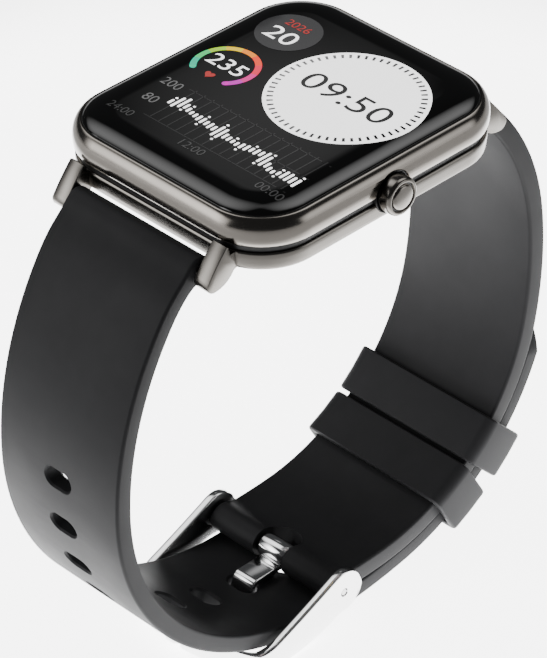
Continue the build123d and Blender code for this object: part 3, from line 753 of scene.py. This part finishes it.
def digits(name, text, x0, x1, y0, y1, mat, lift=LIFT):
    """Digits stretched to fill a box on the display."""
    curve = bpy.data.curves.new(name, "FONT")
    curve.body = text
    curve.size = 1.0
    curve.resolution_u = 5
    source = bpy.data.objects.new(name + "_outline", curve)
    bpy.context.scene.collection.objects.link(source)
    depsgraph = bpy.context.evaluated_depsgraph_get()
    mesh = bpy.data.meshes.new_from_object(source.evaluated_get(depsgraph))
    bpy.data.objects.remove(source)
    xs = [v.co.x for v in mesh.vertices]
    ys = [v.co.y for v in mesh.vertices]
    verts = []
    for v in mesh.vertices:
        x = x0 + (x1 - x0) * (v.co.x - min(xs)) / (max(xs) - min(xs))
        y = y0 + (y1 - y0) * (v.co.y - min(ys)) / (max(ys) - min(ys))
        verts.append((x, y, dome_height(x, y) + lift))
    faces = [tuple(p.vertices) for p in mesh.polygons]
    return make_piece(name, (verts, faces), mat, "watch")


def display():
    white = screen_material("screen_white", (0.90, 0.90, 0.90), 2.2)
    grey = screen_material("screen_grey", (0.05, 0.05, 0.052), 0.10)
    label = screen_material("screen_label", (0.20, 0.20, 0.20), 0.25)
    dim = screen_material("screen_dim", (0.06, 0.06, 0.06), 0.25)
    line = screen_material("screen_line", (0.012, 0.012, 0.012), 0.25)
    red = screen_material("screen_red", (0.55, 0.035, 0.03), 0.5)
    ink = screen_material("screen_ink", (0.004, 0.004, 0.004), 0.0)
    # clock dial
    flat_piece("dial_disc", disc_quads(5.6, 5.45, 10.15), white)
    ticks = [[], [], []]
    for k in range(60):
        a = math.radians(6 * k)
        # ticks are black on the right, paler at the top and bottom, palest on the left
        if -75 < (6 * k + 180) % 360 - 180 < 60:
            shade = 0
        elif 60 <= 6 * k <= 130 or 200 < 6 * k < 290:
            shade = 1
        else:
            shade = 2
        c, s = math.cos(a), math.sin(a)
        corners = [(8.85, -0.16), (9.65, -0.19), (9.65, 0.19), (8.85, 0.16)]
        ticks[shade].append([(5.6 + r * c - w * s, 5.45 + r * s + w * c) for r, w in corners])
    mid_ink = screen_material("screen_ink_mid", (0.09, 0.09, 0.09), 0.1)
    pale_ink = screen_material("screen_ink_pale", (0.30, 0.30, 0.30), 0.1)
    for shade, mat in enumerate((ink, mid_ink, pale_ink)):
        flat_piece(f"dial_ticks_{shade}", ticks[shade], mat, 2 * LIFT)
    digits("dial_time", "09:50", -1.2, 12.5, 3.55, 7.2, ink, 2 * LIFT)
    # date
    flat_piece("date_disc", disc_quads(-9.9, 11.0, 4.25), grey)
    digits("date_day", "20", -12.25, -7.75, 8.55, 11.3, white, 2 * LIFT)
    digits("date_year", "2026", -11.9, -8.0, 12.15, 13.45, red, 2 * LIFT)
    # gauge
    stops = [(0.00, 0.50, 0.30), (0.05, 0.62, 0.18), (0.38, 0.68, 0.03), (0.85, 0.58, 0.00),
             (0.95, 0.26, 0.00), (0.95, 0.05, 0.01), (0.85, 0.01, 0.06), (0.75, 0.01, 0.25),
             (0.55, 0.01, 0.45)]
    for k, colour in enumerate(stops):
        start = 225 - 30 * k
        mat = screen_material(f"gauge_{k}", colour, 1.0)
        quads = ring_quads(-9.9, 0.3, 3.55, 4.4, start, start - 30, 10)
        for end, at in ((0, 225), (8, -45)):
            if k == end:
                cx, cy = -9.9 + 3.975 * math.cos(math.radians(at)), 0.3 + 3.975 * math.sin(math.radians(at))
                quads.append([(cx + 0.425 * math.cos(math.radians(m)), cy + 0.425 * math.sin(math.radians(m)))
                              for m in range(0, 360, 20)])
        flat_piece(f"gauge_arc_{k}", quads, mat)
    digits("gauge_value", "235", -12.75, -7.1, -0.6, 1.8, white)
    heart = []
    for k in range(40):
        t = 2 * math.pi * k / 40
        heart.append((-9.9 + 0.046 * 16 * math.sin(t) ** 3, -2.45 + 0.046 * (
            13 * math.cos(t) - 5 * math.cos(2 * t) - 2 * math.cos(3 * t) - math.cos(4 * t))))
    flat_piece("gauge_heart", [heart], red)
    # chart
    digits("chart_200", "200", -13.1, -10.05, -7.75, -6.2, label)
    digits("chart_80", "80", -12.15, -10.1, -11.7, -10.1, label)
    digits("chart_24", "24:00", -14.0, -10.0, -15.6, -14.3, dim)
    digits("chart_12", "12:00", -1.65, 2.2, -15.6, -14.3, dim)
    digits("chart_00", "00:00", 11.1, 15.3, -15.6, -14.3, dim)
    grid = []
    for k in range(16):
        x = -8.2 + 1.47 * k
        grid += [[(x - 0.09, a), (x + 0.09, a), (x + 0.09, a + 1.9), (x - 0.09, a + 1.9)]
                 for a in (-7.9, -9.85, -11.8, -13.75)]
    grid += [[(-9.2 + 1.5 * k, y - 0.07), (-7.75 + 1.5 * k, y - 0.07),
              (-7.75 + 1.5 * k, y + 0.07), (-9.2 + 1.5 * k, y + 0.07)]
             for y in (-6.4, -10.1, -13.9) for k in range(16)]
    flat_piece("chart_grid", grid, line, 0.5 * LIFT)
    level = [(-8.8, -9.8), (-7.4, -8.9), (-5.5, -9.8), (0, -10.4), (3.4, -10.8), (7.2, -10.2), (10.4, -12.1),
             (12.3, -11.4), (15, -11.8)]
    tall_by_turn = (0.45, 1.15, 1.1, 0.5, 0.4, 0.3, 0.35, 0.5, 0.55, 0.4, 0.55)
    bar_half = 0.19
    bars = []
    for k in range(33):
        x = -8.8 + 0.722 * k
        for (x0, y0), (x1, y1) in zip(level, level[1:]):
            if x0 <= x < x1:
                y = y0 + (y1 - y0) * (x - x0) / (x1 - x0)
        tall = tall_by_turn[k % len(tall_by_turn)] + (0.35 if k > 28 else 0.1)
        spans = [(y - tall, y + tall)]
        if k % 4 == 0:
            spans.append((y + tall + 0.25, y + tall + 0.6))
        if k % 5 == 3:
            spans.append((y - tall - 0.6, y - tall - 0.25))
        for low, high in spans:
            cap = [(bar_half * math.cos(math.radians(m)), bar_half * math.sin(math.radians(m)))
                   for m in range(0, 181, 30)]
            bars.append([(x + u, high - bar_half + v) for u, v in cap] +
                        [(x - u, low + bar_half - v) for u, v in cap])
    flat_piece("chart_bars", bars, white, 1.5 * LIFT)


# ---------------------------------------------------------------- camera, floor and light

AZIMUTH, ELEVATION, ROLL = math.radians(46.007), math.radians(35.729), math.radians(-0.814)
DISTANCE, SHIFT_RIGHT, SHIFT_UP = 478.14, -0.966, -26.743
LENS, SENSOR = 219.261338, 36.0
back = Vector((math.sin(AZIMUTH) * math.cos(ELEVATION), -math.cos(AZIMUTH) * math.cos(ELEVATION),
               math.sin(ELEVATION)))
right0 = Vector((math.cos(AZIMUTH), math.sin(AZIMUTH), 0))
up0 = back.cross(right0)
right = right0 * math.cos(ROLL) + up0 * math.sin(ROLL)
up = up0 * math.cos(ROLL) - right0 * math.sin(ROLL)


def add_camera():
    data = bpy.data.cameras.new("camera")
    camera = bpy.data.objects.new("camera", data)
    bpy.context.scene.collection.objects.link(camera)
    data.sensor_width, data.lens = SENSOR, LENS
    data.clip_start, data.clip_end = 0.05, 5.0
    place = (right * SHIFT_RIGHT + up * SHIFT_UP + back * DISTANCE + Vector((0, 0, GLASS_LINE))) * MM
    camera.matrix_world = Matrix(((right.x, up.x, back.x, place.x), (right.y, up.y, back.y, place.y),
                                  (right.z, up.z, back.z, place.z), (0, 0, 0, 1)))
    bpy.context.scene.camera = camera


# painted pool of light on the floor: its centre, full radius, fade end and glow
POOL_CENTRE, POOL_FULL, POOL_END = (-34.0, 33.0), 85.0, 150.0
POOL_GLOW, FLOOR_GLOW = 6.0, 0.6


def add_floor():
    half = 3.0
    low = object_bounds()[0].z - 0.0002
    mesh = bpy.data.meshes.new("floor")
    corners = [(-half, -half, low), (half, -half, low), (half, half, low), (-half, half, low)]
    mesh.from_pydata(corners, [], [(0, 1, 2, 3)])
    floor = bpy.data.objects.new("floor", mesh)
    bpy.context.scene.collection.objects.link(floor)
    mat = bpy.data.materials.new("floor_painted_light_pool")
    mat.use_nodes = True
    nodes, links = mat.node_tree.nodes, mat.node_tree.links
    shader = nodes["Principled BSDF"]
    shader.inputs["Base Color"].default_value = (0.86, 0.86, 0.86, 1)
    shader.inputs["Roughness"].default_value = 0.9
    shader.inputs["Specular IOR Level"].default_value = 0.1
    shader.inputs["Emission Color"].default_value = (1, 1, 1, 1)
    # painted pool of light: the floor glows in a soft pool on the far side of the watch from the camera, and
    # dimly beyond it
    place = nodes.new("ShaderNodeTexCoord")
    offset = nodes.new("ShaderNodeVectorMath")
    offset.operation = "DISTANCE"
    offset.inputs[1].default_value = (POOL_CENTRE[0] * MM, POOL_CENTRE[1] * MM, low)
    links.new(place.outputs["Object"], offset.inputs[0])
    fade = nodes.new("ShaderNodeMapRange")
    fade.interpolation_type = "SMOOTHSTEP"
    fade.inputs["From Min"].default_value = POOL_FULL * MM
    fade.inputs["From Max"].default_value = POOL_END * MM
    fade.inputs["To Min"].default_value = POOL_GLOW
    fade.inputs["To Max"].default_value = FLOOR_GLOW
    links.new(offset.outputs["Value"], fade.inputs["Value"])
    links.new(fade.outputs["Result"], shader.inputs["Emission Strength"])
    mesh.materials.append(mat)


def add_softbox(name, place, aim, width, height, radiance):
    """Area light that is brightest in its middle and fades to nothing at its edges."""
    data = bpy.data.lights.new(name, "AREA")
    data.shape = "RECTANGLE"
    data.size, data.size_y, data.energy = width, height, radiance * math.pi * width * height
    data.use_nodes = True
    nodes, links = data.node_tree.nodes, data.node_tree.links
    where = nodes.new("ShaderNodeNewGeometry")
    split = nodes.new("ShaderNodeSeparateXYZ")
    links.new(where.outputs["Parametric"], split.inputs["Vector"])
    bells = []
    for axis in ("X", "Y"):
        rest = nodes.new("ShaderNodeMath")
        rest.operation = "SUBTRACT"
        rest.inputs[0].default_value = 1.0
        links.new(split.outputs[axis], rest.inputs[1])
        bell = nodes.new("ShaderNodeMath")
        bell.operation = "MULTIPLY"
        links.new(split.outputs[axis], bell.inputs[0])
        links.new(rest.outputs[0], bell.inputs[1])
        bells.append(bell)
    both = nodes.new("ShaderNodeMath")
    both.operation = "MULTIPLY"
    for slot, bell in enumerate(bells):
        links.new(bell.outputs[0], both.inputs[slot])
    gain = nodes.new("ShaderNodeMath")
    gain.operation = "MULTIPLY"
    gain.inputs[1].default_value = 16.0
    links.new(both.outputs[0], gain.inputs[0])
    links.new(gain.outputs[0], nodes["Emission"].inputs["Strength"])
    light = bpy.data.objects.new(name, data)
    bpy.context.scene.collection.objects.link(light)
    light.location = place
    light.rotation_mode = "QUATERNION"
    light.rotation_quaternion = (Vector(aim) - Vector(place)).to_track_quat("-Z", "Y")
    light.visible_camera = False


SOFTBOXES = {
    # name: direction from the watch, distance, width, height, radiance
    "glass_left": ((-0.60, -0.10, 0.79), 0.5, 0.40, 0.56, 2.6),
    "glass_right": ((0.10, 0.56, 0.82), 0.5, 0.40, 0.56, 2.6),
    "lug_left": ((-0.58, -0.70, 0.41), 0.5, 0.34, 0.26, 2.6),
    "band_left": ((-0.60, -0.78, 0.12), 0.5, 0.35, 0.16, 2.0),
    "front": ((-0.45, -0.86, 0.22), 0.5, 0.40, 0.40, 4.0),
    "band_right": ((0.82, 0.54, 0.18), 0.5, 0.35, 0.30, 2.4),
}
CARD_DIRECTION, CARD_AIM = (-0.584, 0.564, 0.584), (-0.012, 0.010, 0.010)


def add_lights():
    world = bpy.data.worlds.new("studio")
    world.use_nodes = True
    sky = world.node_tree.nodes["Background"]
    sky.inputs["Color"].default_value = (0.95, 0.97, 1.0, 1)
    sky.inputs["Strength"].default_value = 0.06
    bpy.context.scene.world = world
    for name, (direction, distance, width, height, radiance) in SOFTBOXES.items():
        add_softbox(name, Vector(direction) * distance, (0, 0, 0), width, height, radiance)
    add_softbox("card", Vector(CARD_AIM) + Vector(CARD_DIRECTION) * 0.35, CARD_AIM, 0.085, 0.085, 0.4)


glass()
upper_band()
lower_band()
groove_ring()
crown()
strap_buckle_half()
strap_tail()
keeper("keeper_loop_upper", "keeper_upper", KEEPER_ANGLES[0])
keeper("keeper_loop_lower", "keeper_lower", KEEPER_ANGLES[1])
buckle_frame()
buckle_tang()
display()
add_camera()
add_floor()
add_lights()
